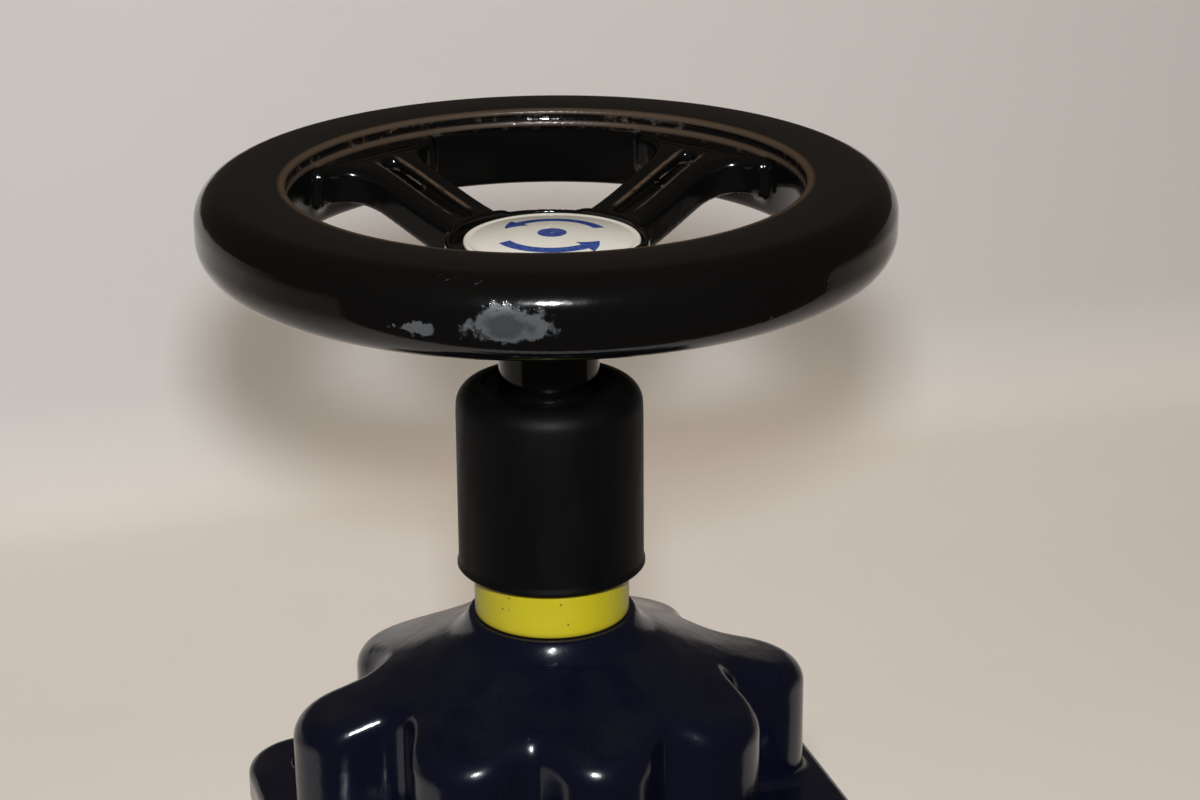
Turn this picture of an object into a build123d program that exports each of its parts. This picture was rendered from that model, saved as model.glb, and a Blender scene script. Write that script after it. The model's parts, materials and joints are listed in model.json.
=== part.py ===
"""Flanged DN50 resilient-seated gate valve with a non-rising stem and a handwheel.

Frame: origin at the middle of the feet, +Z up along the stem, pipe bore along Y.
All sizes are in millimetres.
"""
from math import cos, radians, sin, tan
import os

from build123d import *

# ---- pipe and flanges (PN16, nominal bore 50) ----
BORE_R = 25.0
PIPE_R = 33.0
FACE_TO_FACE = 150.0
FLANGE_R = 82.5
FLANGE_T = 16.0
RAISED_R = 49.5
RAISED_T = 3.0
BOLT_PCD = 125.0
BOLT_HOLE_R = 9.5
AXIS_Z = FLANGE_R
FOOT_W = 60.0

# ---- wedge chamber ----
WEDGE_R = 28.5
SEAT_GAP = 0.15
TAPER = 3.0
WEDGE_HALF_T = 14.5
WEDGE_TOP = 111.0
CHAMBER_HALF_X = 36.5
CHAMBER_HALF_Y = 17.5
CHAMBER_WIDE_Z = 65.0
CHAMBER_WALL = 7.0
CHAMBER_CORNER = 18.0
RIB_W = 6.0
RIB_DEPTH = 3.0
CHAMBER_TOP = 192.0

# ---- body and bonnet flanges ----
JOINT_Z = 154.0
JOINT_HALF_X = 69.5
JOINT_HALF_Y = 49.0
JOINT_CORNER = 16.0
BODY_JOINT_T = 12.0
BODY_JOINT_EDGE = 1.2
BONNET_JOINT_T = 10.5
BONNET_JOINT_EDGE = 3.0
SCREW_X = 50.5
SCREW_Y = 36.0
SCREW_R = 4.9
SCREW_HEAD_R = 7.5
SCREW_HEAD_H = 6.0
SCREW_SEAT = 2.5
SCREW_HEX_R = 3.5
HEX_DEPTH = 3.5
HEAD_POCKET_GAP = 0.3
PLUG_H = 1.7
GASKET_T = 2.0
GASKET_W = 5.0
GASKET_MARGIN = 2.5
GASKET_CORNER = 7.0

# ---- bonnet top ----
NECK_R = 19.7
NECK_TOP = 215.0
CORE_R = 43.0
LOBE_SIZE = {0: (52.0, 11.8), 46: (39.5, 14.5), 90: (38.5, 13.5), 135: (39.5, 14.5)}
NOTCH_FILLET = 3.0
LOBE_TOP_FILLET = 4.0
BONNET_CAV_X = 29.3
BONNET_CAV_Y = 17.5
BONNET_CAV_CORNER = 2.0

# ---- stem, bushing and seals ----
STEM_BOTTOM = 110.5
THREAD_R = 9.0
COLLAR_R = 13.4
COLLAR_Z = 200.2
COLLAR_T = 4.6
SHAFT_R = 9.0
SHAFT_TOP = 262.0
SQUARE = 13.0
SQUARE_TOP = 294.5
RUN_GAP = 0.05
BACK_SEAL_R = 12.6
BACK_SEAL_Z = 193.5
BACK_SEAL_H = 3.0
BUSH_BORE_R = 14.5
BUSH_SEAT_Z = 198.0
BUSH_Z = 206.6
BUSH_STEP_Z = 212.0
BUSH_TOP = 222.0
BUSH_TOP_R = 12.4
ORING_R = 1.0
STEM_HOLE_GAP = 1.2
CLIP_GROOVE_DEPTH = 1.4
CLIP_T = 1.5

# ---- indicator ring, wiper and dust sleeve ----
RING_R = 18.5
RING_Z = NECK_TOP + 0.1
RING_TOP = 227.3
SLEEVE_R = 22.05
SLEEVE_Z = 227.5
SLEEVE_TOP = 272.5
SLEEVE_WALL = 3.2
SLEEVE_ROOF = 7.0

# ---- handwheel ----
WHEEL_Z = 312.5
RIM_R = 80.0
RIM_IN = 58.8
RIM_TOP = 10.3
RIM_BOTTOM = -9.3
SPOKE_ANGLE = 32.5
SPOKE_W = 17.6
SPOKE_WALL = 3.0
SPOKE_DEPTH = 8.5
SPOKE_RIM_Z = 5.0
SPOKE_HUB_Z = -4.5
FLARE_R = 12.0
HUB_R = 23.6
HUB_T = 7.5
RECESS_R = 22.3
RECESS_DEPTH = 2.0
HUB_HOLE_R = 12.0
SLOT_IN = 24.8
SLOT_OUT = 52.0
SLOT_W = 4.6
SLOT_DEPTH = 1.6
CHANNEL_R = 69.3
CHANNEL_W = 10.5
CHANNEL_DEPTH = 13.0
CHANNEL_CORNER = 2.5
BOSS_R = 11.8
BOSS_FLARE_R = 16.5
BOSS_FLARE_Z = 290.0
BOSS_POCKET_R = 10.6
BOSS_SEAT_Z = 296.0
WASHER_R = 10.4
WASHER_T = 1.6
HUB_SCREW_R = 3.97
HUB_HEAD_R = 6.5
HUB_HEAD_H = 5.6
HUB_HEX_R = 3.2
CAP_R = 20.5
CAP_EDGE = 0.9
CAP_DOME = 1.7
CAP_SHIFT = 1.6
CAP_ANGLE = 30.0

# ---- wedge ----
RUBBER_T = 2.5
HEAD_X = 40.0
HEAD_Y = 27.0
HEAD_CORNER = 4.0
HEAD_TOP = 132.0
NUT_Z = 113.0
NUT_H = 16.0
NUT_W = 29.8
NUT_DEPTH = 23.0
NUT_BACK_Y = 10.5
STEM_PASSAGE_R = THREAD_R + 1.0
LUG_REACH = 2.0
LUG_W = 12.0
SHOE_Z = 68.0
SHOE_H = 28.0
SHOE_T = 5.6
SHOE_W = 14.0


def save(part, name):
    """Label one finished piece and write its STEP file."""
    part.label = name
    export_step(part, f"parts/{name}.step")


os.makedirs("parts", exist_ok=True)

side_view = Plane.XZ
end_view = Plane.YZ
upward = (Align.CENTER, Align.CENTER, Align.MIN)
downward = (Align.CENTER, Align.CENTER, Align.MAX)
slope = tan(radians(TAPER))


def half_thickness(z, gap=0.0):
    """Half the wedge's thickness along the pipe at height z."""
    return WEDGE_HALF_T + (z - AXIS_Z) * slope + gap


# ======== body casting ========
seat_low = AXIS_Z - WEDGE_R - SEAT_GAP
taper_end = AXIS_Z + (CHAMBER_HALF_Y - WEDGE_HALF_T - SEAT_GAP) / slope
outer_x = CHAMBER_HALF_X + CHAMBER_WALL
outer_y = CHAMBER_HALF_Y + CHAMBER_WALL
body_joint_z = JOINT_Z - BODY_JOINT_T
screw_spots = [(x, y) for x in (-SCREW_X, SCREW_X) for y in (-SCREW_Y, SCREW_Y)]

with BuildPart() as outer_casting:
    # chamber walls: half-round below, straight above
    with BuildSketch(Plane.XY.offset(AXIS_Z)):
        RectangleRounded(2 * outer_x, 2 * outer_y, CHAMBER_CORNER)
    extrude(amount=body_joint_z - AXIS_Z)
    with BuildSketch(side_view):
        with Locations((0, AXIS_Z)):
            Circle(outer_x)
        with Locations((0, AXIS_Z + outer_x)):
            Rectangle(2 * outer_x, 2 * outer_x, mode=Mode.SUBTRACT)
    extrude(amount=outer_y, both=True)
    # joint flange
    with BuildSketch(Plane.XY.offset(body_joint_z)):
        RectangleRounded(2 * JOINT_HALF_X, 2 * JOINT_HALF_Y, JOINT_CORNER)
    extrude(amount=BODY_JOINT_T)
    fillet(outer_casting.edges().group_by(Axis.Z)[-1], BODY_JOINT_EDGE)
    # pipe
    with BuildSketch(side_view):
        with Locations((0, AXIS_Z)):
            Circle(PIPE_R)
    extrude(amount=FACE_TO_FACE / 2 - RAISED_T - FLANGE_T / 2, both=True)
    # pipe flanges with raised faces and feet
    for side in (-1, 1):
        inner_face = side * (FACE_TO_FACE / 2 - RAISED_T - FLANGE_T)
        with BuildSketch(side_view.offset(-inner_face)):
            with Locations((0, AXIS_Z)):
                Circle(FLANGE_R)
            with Locations((0, FOOT_W / 4)):
                Rectangle(FOOT_W, FOOT_W / 2)
        extrude(amount=-side * FLANGE_T)
        with BuildSketch(side_view.offset(-side * (FACE_TO_FACE / 2 - RAISED_T))):
            with Locations((0, AXIS_Z)):
                Circle(RAISED_R)
        extrude(amount=-side * RAISED_T)
    # pipe bore
    with BuildSketch(side_view):
        with Locations((0, AXIS_Z)):
            Circle(BORE_R)
    extrude(amount=FACE_TO_FACE, both=True, mode=Mode.SUBTRACT)
    # flange bolt holes
    for side in (-1, 1):
        with BuildSketch(side_view.offset(side * FACE_TO_FACE / 2)):
            with Locations((0, AXIS_Z)):
                with PolarLocations(BOLT_PCD / 2, 4, start_angle=45):
                    Circle(BOLT_HOLE_R)
        extrude(amount=-side * (RAISED_T + FLANGE_T + 1), mode=Mode.SUBTRACT)

with BuildPart() as chamber:
    with BuildSketch(side_view):
        with Locations((0, AXIS_Z)):
            Circle(WEDGE_R + SEAT_GAP)
        with Locations((0, (CHAMBER_WIDE_Z + JOINT_Z) / 2)):
            Rectangle(2 * CHAMBER_HALF_X, JOINT_Z - CHAMBER_WIDE_Z)
    extrude(amount=CHAMBER_HALF_Y, both=True)
    with BuildSketch(end_view):
        with BuildLine():
            low = half_thickness(seat_low, SEAT_GAP)
            Polyline(
                (low, seat_low), (CHAMBER_HALF_Y, taper_end), (CHAMBER_HALF_Y, JOINT_Z),
                (-CHAMBER_HALF_Y, JOINT_Z), (-CHAMBER_HALF_Y, taper_end), (-low, seat_low),
                close=True,
            )
        make_face()
    extrude(amount=CHAMBER_HALF_X, both=True, mode=Mode.INTERSECT)

with BuildPart() as body_holes:
    with Locations(*[(x, y, JOINT_Z) for x, y in screw_spots]):
        Cylinder(SCREW_R, BODY_JOINT_T, align=downward)

with BuildPart() as guide_ribs:
    for side in (-1, 1):
        with Locations((side * (CHAMBER_HALF_X - RIB_DEPTH / 2), 0, CHAMBER_WIDE_Z)):
            Box(RIB_DEPTH, RIB_W, JOINT_Z - CHAMBER_WIDE_Z, align=upward)

with BuildPart() as whole_casting:
    add(outer_casting.part)
    add(chamber.part, mode=Mode.SUBTRACT)
    add(body_holes.part, mode=Mode.SUBTRACT)
    add(guide_ribs.part)


def branch_zone(side):
    """Space of one pipe branch: outside the chamber wall, below and beyond the joint flange."""
    outward = (Align.CENTER, Align.MIN if side > 0 else Align.MAX, Align.MIN)
    width = 2 * FLANGE_R + 2
    with BuildPart() as zone:
        with Locations((0, side * outer_y, 0)):
            Box(width, FACE_TO_FACE / 2, body_joint_z - 1, align=outward)
        with Locations((0, side * (JOINT_HALF_Y + 2), 0)):
            Box(width, FACE_TO_FACE / 2, width, align=outward)
    return zone.part


# one casting, kept as its chamber and its two pipe branches
with BuildPart() as body_casting:
    add(whole_casting.part)
    for side in (-1, 1):
        add(branch_zone(side), mode=Mode.SUBTRACT)
save(body_casting.part, "body_casting")

with BuildPart() as inlet_branch:
    add(whole_casting.part)
    add(branch_zone(-1), mode=Mode.INTERSECT)
save(inlet_branch.part, "inlet_branch")

with BuildPart() as outlet_branch:
    add(whole_casting.part)
    add(branch_zone(1), mode=Mode.INTERSECT)
save(outlet_branch.part, "outlet_branch")


# ======== bonnet ========
bonnet_joint_z = JOINT_Z + BONNET_JOINT_T
gasket_x = CHAMBER_HALF_X + GASKET_MARGIN
gasket_y = CHAMBER_HALF_Y + GASKET_MARGIN
clip_groove_r = BUSH_BORE_R + CLIP_GROOVE_DEPTH
pocket_r = SCREW_HEAD_R + HEAD_POCKET_GAP

with BuildPart() as bonnet_crown:
    # eight solid lobes, two on each slot
    with BuildSketch(Plane.XY.offset(bonnet_joint_z - 1)) as star:
        Circle(CORE_R)
        for angle, (reach, lobe_r) in LOBE_SIZE.items():
            SlotCenterToCenter(2 * reach, 2 * lobe_r, rotation=angle)
        notches = [v for v in star.vertices() if Vector(v.X, v.Y).length < CORE_R + 0.01]
        fillet(notches, NOTCH_FILLET)
    extrude(amount=NECK_TOP - bonnet_joint_z + 1)
    # domed top rising to the neck
    with BuildSketch(side_view):
        with BuildLine():
            crown = Polyline((0, bonnet_joint_z - 1), (0, NECK_TOP), (NECK_R, NECK_TOP), (NECK_R, 212.2))
            blend = Spline(
                crown @ 1, (26, 208.3), (36, 203.2), (48, 198.2), (64, 193.6),
                tangents=[(0.15, -1), (1, -0.26)],
            )
            Polyline(blend @ 1, (70, 193.6), (70, bonnet_joint_z - 1), (0, bonnet_joint_z - 1))
        make_face()
    revolve(axis=Axis.Z, mode=Mode.INTERSECT)
    rim_edges = [
        e for e in bonnet_crown.edges()
        if 190 < e.center().Z < 206 and Vector(e.center().X, e.center().Y).length > 30
    ]
    fillet(rim_edges, LOBE_TOP_FILLET)

with BuildPart() as bonnet:
    with BuildSketch(Plane.XY.offset(JOINT_Z)):
        RectangleRounded(2 * JOINT_HALF_X, 2 * JOINT_HALF_Y, JOINT_CORNER)
    extrude(amount=BONNET_JOINT_T)
    fillet(bonnet.edges().group_by(Axis.Z)[-1], BONNET_JOINT_EDGE)
    add(bonnet_crown.part)
    # cavity for the raised wedge
    with BuildSketch(Plane.XY.offset(JOINT_Z)):
        RectangleRounded(2 * BONNET_CAV_X, 2 * BONNET_CAV_Y, BONNET_CAV_CORNER)
    extrude(amount=CHAMBER_TOP - JOINT_Z, mode=Mode.SUBTRACT)
    # stem hole and the stepped bore for collar and bushing
    with Locations((0, 0, CHAMBER_TOP - 1)):
        Cylinder(THREAD_R + STEM_HOLE_GAP, 30, align=upward, mode=Mode.SUBTRACT)
    with Locations((0, 0, BUSH_SEAT_Z)):
        Cylinder(BUSH_BORE_R, 30, align=upward, mode=Mode.SUBTRACT)
    with Locations((0, 0, BUSH_STEP_Z)):
        Cylinder(clip_groove_r, CLIP_T + 0.1, align=upward, mode=Mode.SUBTRACT)
    # back seal groove
    with Locations((0, 0, BACK_SEAL_Z)):
        Cylinder(BACK_SEAL_R, BACK_SEAL_H, align=upward, mode=Mode.SUBTRACT)
    # gasket groove
    with BuildSketch(Plane.XY.offset(JOINT_Z)):
        RectangleRounded(2 * (gasket_x + GASKET_W), 2 * (gasket_y + GASKET_W), GASKET_CORNER + GASKET_W)
        RectangleRounded(2 * gasket_x, 2 * gasket_y, GASKET_CORNER, mode=Mode.SUBTRACT)
    extrude(amount=GASKET_T, mode=Mode.SUBTRACT)
    # recessed screw holes
    with Locations(*[(x, y, bonnet_joint_z) for x, y in screw_spots]):
        CounterBoreHole(SCREW_R, pocket_r, BONNET_JOINT_T - SCREW_SEAT, depth=BONNET_JOINT_T)
save(bonnet.part, "bonnet")

with BuildPart() as bonnet_gasket:
    with BuildSketch(Plane.XY.offset(JOINT_Z)):
        RectangleRounded(2 * (gasket_x + GASKET_W), 2 * (gasket_y + GASKET_W), GASKET_CORNER + GASKET_W)
        RectangleRounded(2 * gasket_x, 2 * gasket_y, GASKET_CORNER, mode=Mode.SUBTRACT)
    extrude(amount=GASKET_T)
save(bonnet_gasket.part, "bonnet_gasket")

with BuildPart() as bonnet_screws:
    head_z = JOINT_Z + SCREW_SEAT
    with Locations(*[(x, y, head_z) for x, y in screw_spots]):
        Cylinder(SCREW_HEAD_R, SCREW_HEAD_H, align=upward)
        Cylinder(SCREW_R, SCREW_SEAT + BODY_JOINT_T, align=downward)
    with BuildSketch(Plane.XY.offset(head_z + SCREW_HEAD_H)):
        with Locations(*screw_spots):
            RegularPolygon(SCREW_HEX_R, 6)
    extrude(amount=-HEX_DEPTH, mode=Mode.SUBTRACT)
save(bonnet_screws.part, "bonnet_screws")

with BuildPart() as screw_seal_plugs:
    with Locations(*[(x, y, JOINT_Z + SCREW_SEAT + SCREW_HEAD_H) for x, y in screw_spots]):
        Cylinder(pocket_r, PLUG_H, align=upward)
save(screw_seal_plugs.part, "screw_seal_plugs")

# ======== stem bearing and seals ========
with BuildPart() as lower_thrust_washer:
    with BuildSketch(Plane.XY.offset(BUSH_SEAT_Z)):
        Circle(BUSH_BORE_R)
        Circle(THREAD_R + STEM_HOLE_GAP, mode=Mode.SUBTRACT)
    extrude(amount=COLLAR_Z - 0.1 - BUSH_SEAT_Z)
save(lower_thrust_washer.part, "lower_thrust_washer")

with BuildPart() as upper_thrust_washer:
    with BuildSketch(Plane.XY.offset(COLLAR_Z + COLLAR_T + 0.1)):
        Circle(BUSH_BORE_R)
        Circle(SHAFT_R + 0.8, mode=Mode.SUBTRACT)
    extrude(amount=BUSH_Z - COLLAR_Z - COLLAR_T - 0.1)
save(upper_thrust_washer.part, "upper_thrust_washer")

with BuildPart() as back_seal:
    with BuildSketch(Plane.XY.offset(BACK_SEAL_Z)):
        Circle(BACK_SEAL_R)
        Circle(THREAD_R + 0.1, mode=Mode.SUBTRACT)
    extrude(amount=BACK_SEAL_H)
save(back_seal.part, "back_seal")

outer_groove_z = (BUSH_Z + 1.4, BUSH_Z + 3.9)
inner_groove_z = (BUSH_Z + 4.0, BUSH_Z + 10.0)

with BuildPart() as stem_bushing:
    with BuildSketch(side_view):
        with BuildLine():
            Polyline(
                (SHAFT_R + RUN_GAP, BUSH_Z), (BUSH_BORE_R, BUSH_Z), (BUSH_BORE_R, BUSH_STEP_Z),
                (BUSH_TOP_R, BUSH_STEP_Z), (BUSH_TOP_R, BUSH_TOP), (SHAFT_R + RUN_GAP, BUSH_TOP),
                close=True,
            )
        make_face()
        for z in outer_groove_z:
            with Locations((BUSH_BORE_R - ORING_R, z)):
                Rectangle(2 * ORING_R, 2 * ORING_R, mode=Mode.SUBTRACT)
        for z in inner_groove_z:
            with Locations((SHAFT_R + RUN_GAP + ORING_R, z)):
                Rectangle(2 * ORING_R, 2 * ORING_R, mode=Mode.SUBTRACT)
    revolve(axis=Axis.Z)
save(stem_bushing.part, "stem_bushing")


def ring_pair(centre_r, heights):
    """Two O-rings of the same size, at the given heights."""
    with BuildPart() as rings:
        with BuildSketch(side_view):
            with Locations(*[(centre_r, z) for z in heights]):
                Circle(ORING_R - 0.02)
        revolve(axis=Axis.Z)
    return rings.part


save(ring_pair(BUSH_BORE_R - ORING_R, outer_groove_z), "bushing_outer_orings")
save(ring_pair(SHAFT_R + RUN_GAP + ORING_R, inner_groove_z), "stem_orings")

with BuildPart() as retaining_ring:
    with BuildSketch(Plane.XY.offset(BUSH_STEP_Z)):
        Circle(clip_groove_r - 0.1)
        Circle(BUSH_TOP_R + 0.3, mode=Mode.SUBTRACT)
        with Locations((BUSH_BORE_R, 0)):
            Rectangle(8, 5, mode=Mode.SUBTRACT)
    extrude(amount=CLIP_T)
save(retaining_ring.part, "retaining_ring")

with BuildPart() as indicator_ring:
    with BuildSketch(Plane.XY.offset(RING_Z)):
        Circle(RING_R)
        Circle(BUSH_TOP_R, mode=Mode.SUBTRACT)
    extrude(amount=RING_TOP - RING_Z)
    chamfer(indicator_ring.edges().filter_by(GeomType.CIRCLE).group_by(SortBy.RADIUS)[-1], 0.4)
save(indicator_ring.part, "indicator_ring")

with BuildPart() as wiper_ring:
    with BuildSketch(Plane.XY.offset(BUSH_TOP)):
        Circle(BUSH_TOP_R)
        Circle(SHAFT_R + 0.1, mode=Mode.SUBTRACT)
    extrude(amount=RING_TOP - BUSH_TOP - 0.5)
save(wiper_ring.part, "wiper_ring")

# ======== stem ========
with BuildPart() as stem:
    with BuildSketch(side_view):
        with BuildLine():
            Polyline(
                (0, STEM_BOTTOM), (THREAD_R - 1.5, STEM_BOTTOM), (THREAD_R, STEM_BOTTOM + 1.5),
                (THREAD_R, COLLAR_Z), (COLLAR_R, COLLAR_Z), (COLLAR_R, COLLAR_Z + COLLAR_T),
                (SHAFT_R, COLLAR_Z + COLLAR_T), (SHAFT_R, SQUARE_TOP), (0, SQUARE_TOP),
                close=True,
            )
        make_face()
    revolve(axis=Axis.Z)
    # square drive end
    with BuildSketch(Plane.XY.offset(SHAFT_TOP)):
        Circle(SHAFT_R + 1)
        Rectangle(SQUARE, SQUARE, mode=Mode.SUBTRACT, rotation=SPOKE_ANGLE)
    extrude(amount=SQUARE_TOP - SHAFT_TOP, mode=Mode.SUBTRACT)
    # tapped hole for the hub screw
    with Locations((0, 0, SQUARE_TOP)):
        Cylinder(4, 20, align=downward, mode=Mode.SUBTRACT)
save(stem.part, "stem")

# ======== handwheel ========
hub_top = WHEEL_Z + SPOKE_HUB_Z
hub_bottom = hub_top - HUB_T
recess_floor = hub_top - RECESS_DEPTH

with BuildPart() as handwheel_rim:
    with BuildSketch(side_view):
        with BuildLine():
            inner = Polyline(
                (64, WHEEL_Z + RIM_BOTTOM), (61, WHEEL_Z + RIM_BOTTOM + 0.8), (RIM_IN, WHEEL_Z - 6.5),
                (RIM_IN, WHEEL_Z + 9.2), (RIM_IN + 0.8, WHEEL_Z + 9.9),
            )
            land = ThreePointArc(inner @ 1, (68, WHEEL_Z + RIM_TOP), (75.6, WHEEL_Z + 9.7))
            lip = Line(land @ 1, (75.7, WHEEL_Z + 9.1))
            upper = ThreePointArc(lip @ 1, (78.9, WHEEL_Z + 5), (RIM_R, WHEEL_Z))
            lower = TangentArc(upper @ 1, (73.8, WHEEL_Z + RIM_BOTTOM), tangent=(0, -1))
            Line(lower @ 1, inner @ 0)
        make_face()
        # open channel under the rim
        with Locations((CHANNEL_R, WHEEL_Z + RIM_BOTTOM)):
            RectangleRounded(CHANNEL_W, 2 * CHANNEL_DEPTH, CHANNEL_CORNER, mode=Mode.SUBTRACT)
    revolve(axis=Axis.Z)
save(handwheel_rim.part, "handwheel_rim")


def spoke(margin, drop):
    """One spoke along +X: its plan outline extruded, cut to its sloping side profile."""
    half = SPOKE_W / 2 - margin
    with BuildPart() as blank:
        with BuildSketch(Plane.XY.offset(WHEEL_Z - 20)) as plan:
            with Locations((HUB_R / 2 + RIM_IN / 2, 0)):
                Rectangle(RIM_IN - HUB_R + 14, 2 * half)
            flare = FLARE_R + margin
            edge_x = RIM_IN - margin
            for side in (-1, 1):
                with BuildLine():
                    start = (edge_x - flare, side * half)
                    end = (edge_x, side * (half + flare))
                    RadiusArc(start, end, side * -flare)
                    Polyline(end, (RIM_IN + 4, side * (half + flare)), (RIM_IN + 4, side * half), start)
                make_face()
        extrude(amount=40)
        with BuildSketch(side_view):
            with BuildLine():
                top_in = WHEEL_Z + SPOKE_HUB_Z - drop
                top_out = WHEEL_Z + SPOKE_RIM_Z - drop
                depth = SPOKE_DEPTH if drop == 0 else SPOKE_DEPTH + 6
                Polyline(
                    (HUB_R - 6, top_in), (HUB_R + 1, top_in), (RIM_IN - 4, top_out), (RIM_IN + 6, top_out),
                    (RIM_IN + 6, top_out - depth), (HUB_R - 6, top_in - depth),
                    close=True,
                )
            make_face()
        extrude(amount=40, both=True, mode=Mode.INTERSECT)
    return blank.part


spoke_shape = spoke(0, 0)
spoke_hollow = spoke(SPOKE_WALL, SPOKE_WALL)
spoke_rise = (SPOKE_RIM_Z - SPOKE_HUB_Z) / (RIM_IN - 4 - HUB_R - 1)

with BuildPart() as slot_cutter:
    slot_mid = (SLOT_IN + SLOT_OUT) / 2
    slot_z = hub_top + (slot_mid - HUB_R - 1) * spoke_rise
    slot_plane = Plane(origin=(slot_mid, 0, slot_z), x_dir=(1, 0, spoke_rise), z_dir=(-spoke_rise, 0, 1))
    with BuildSketch(slot_plane.offset(-SLOT_DEPTH)):
        SlotOverall(SLOT_OUT - SLOT_IN, SLOT_W)
    extrude(amount=6)

with BuildPart() as handwheel_spider:
    for k in range(4):
        add(spoke_shape.rotate(Axis.Z, SPOKE_ANGLE + 90 * k))
    for k in range(4):
        add(spoke_hollow.rotate(Axis.Z, SPOKE_ANGLE + 90 * k), mode=Mode.SUBTRACT)
    # hub plate
    with BuildSketch(Plane.XY.offset(hub_bottom)):
        Circle(HUB_R)
    extrude(amount=HUB_T)
    with BuildSketch(Plane.XY.offset(recess_floor)):
        Circle(RECESS_R)
    extrude(amount=RECESS_DEPTH + 2, mode=Mode.SUBTRACT)
    for k in range(4):
        add(slot_cutter.part.rotate(Axis.Z, SPOKE_ANGLE + 90 * k), mode=Mode.SUBTRACT)
    with Locations((0, 0, hub_bottom)):
        Cylinder(HUB_HOLE_R, 30, mode=Mode.SUBTRACT)
    # trim the spoke ends to the inside of the rim
    with BuildSketch(Plane.XY.offset(WHEEL_Z - 25)):
        Circle(RIM_IN)
    extrude(amount=50, mode=Mode.INTERSECT)
save(handwheel_spider.part, "handwheel_spider")

with BuildPart() as handwheel_boss:
    with BuildSketch(side_view):
        with BuildLine():
            Polyline((0, SHAFT_TOP), (BOSS_R, SHAFT_TOP), (BOSS_R, BOSS_FLARE_Z))
            RadiusArc((BOSS_R, BOSS_FLARE_Z), (BOSS_FLARE_R, hub_bottom), 14)
            Polyline((BOSS_FLARE_R, hub_bottom), (0, hub_bottom), (0, SHAFT_TOP))
        make_face()
    revolve(axis=Axis.Z)
    with BuildSketch(Plane.XY.offset(SHAFT_TOP)):
        Rectangle(SQUARE + 0.1, SQUARE + 0.1, rotation=SPOKE_ANGLE)
    extrude(amount=60, mode=Mode.SUBTRACT)
    with Locations((0, 0, BOSS_SEAT_Z)):
        Cylinder(BOSS_POCKET_R, 20, align=upward, mode=Mode.SUBTRACT)
save(handwheel_boss.part, "handwheel_boss")

with BuildPart() as hub_washer:
    with BuildSketch(Plane.XY.offset(BOSS_SEAT_Z)):
        Circle(WASHER_R)
        Circle(4.2, mode=Mode.SUBTRACT)
    extrude(amount=WASHER_T)
save(hub_washer.part, "hub_washer")

with BuildPart() as hub_screw:
    with Locations((0, 0, BOSS_SEAT_Z + WASHER_T)):
        Cylinder(HUB_HEAD_R, HUB_HEAD_H, align=upward)
        Cylinder(HUB_SCREW_R, 18, align=downward)
    with BuildSketch(Plane.XY.offset(BOSS_SEAT_Z + WASHER_T + HUB_HEAD_H)):
        RegularPolygon(HUB_HEX_R, 6)
    extrude(amount=-HEX_DEPTH, mode=Mode.SUBTRACT)
save(hub_screw.part, "hub_screw")

cap_dome_r = (CAP_R ** 2 + CAP_DOME ** 2) / (2 * CAP_DOME)
cap_x = CAP_SHIFT * cos(radians(CAP_ANGLE))
cap_y = CAP_SHIFT * sin(radians(CAP_ANGLE))
with BuildPart() as hub_cap:
    with Locations((cap_x, cap_y, recess_floor)):
        Cylinder(CAP_R, CAP_EDGE + CAP_DOME, align=upward)
    with Locations((cap_x, cap_y, recess_floor + CAP_EDGE + CAP_DOME - cap_dome_r)):
        Sphere(cap_dome_r, mode=Mode.INTERSECT)
save(hub_cap.part, "hub_cap")

with BuildPart() as dust_sleeve:
    with BuildSketch(side_view):
        with BuildLine():
            Polyline(
                (SLEEVE_R - SLEEVE_WALL, SLEEVE_Z), (SLEEVE_R + 0.4, SLEEVE_Z),
                (SLEEVE_R + 0.4, SLEEVE_Z + 1), (SLEEVE_R + 0.1, SLEEVE_Z + 1.8),
                (SLEEVE_R - 0.1, SLEEVE_TOP - 5),
            )
            RadiusArc((SLEEVE_R - 0.1, SLEEVE_TOP - 5), (SLEEVE_R - 5, SLEEVE_TOP), -4.9)
            Polyline(
                (SLEEVE_R - 5, SLEEVE_TOP), (16, SLEEVE_TOP), (15.6, SLEEVE_TOP - 0.8),
                (BOSS_R, SLEEVE_TOP - 1.2), (BOSS_R, SLEEVE_TOP - SLEEVE_ROOF),
                (SLEEVE_R - SLEEVE_WALL, SLEEVE_TOP - SLEEVE_ROOF),
                (SLEEVE_R - SLEEVE_WALL, SLEEVE_Z),
            )
        make_face()
    revolve(axis=Axis.Z)
save(dust_sleeve.part, "dust_sleeve")

# ======== wedge ========

def wedge_blank(inset):
    """Wedge outline, tapered through its thickness, drawn in by the rubber's thickness."""
    radius = WEDGE_R - inset
    top = WEDGE_TOP - inset
    bottom = AXIS_Z - radius
    with BuildPart() as blank:
        with BuildSketch(side_view):
            with Locations((0, AXIS_Z)):
                Circle(radius)
            with Locations((0, (AXIS_Z + top) / 2)):
                Rectangle(2 * radius, top - AXIS_Z)
        extrude(amount=30, both=True)
        with BuildSketch(end_view):
            with BuildLine():
                low = half_thickness(bottom) - inset
                high = half_thickness(top) - inset
                Polyline((low, bottom), (high, top), (-high, top), (-low, bottom), close=True)
            make_face()
        extrude(amount=40, both=True, mode=Mode.INTERSECT)
    return blank.part


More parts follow.
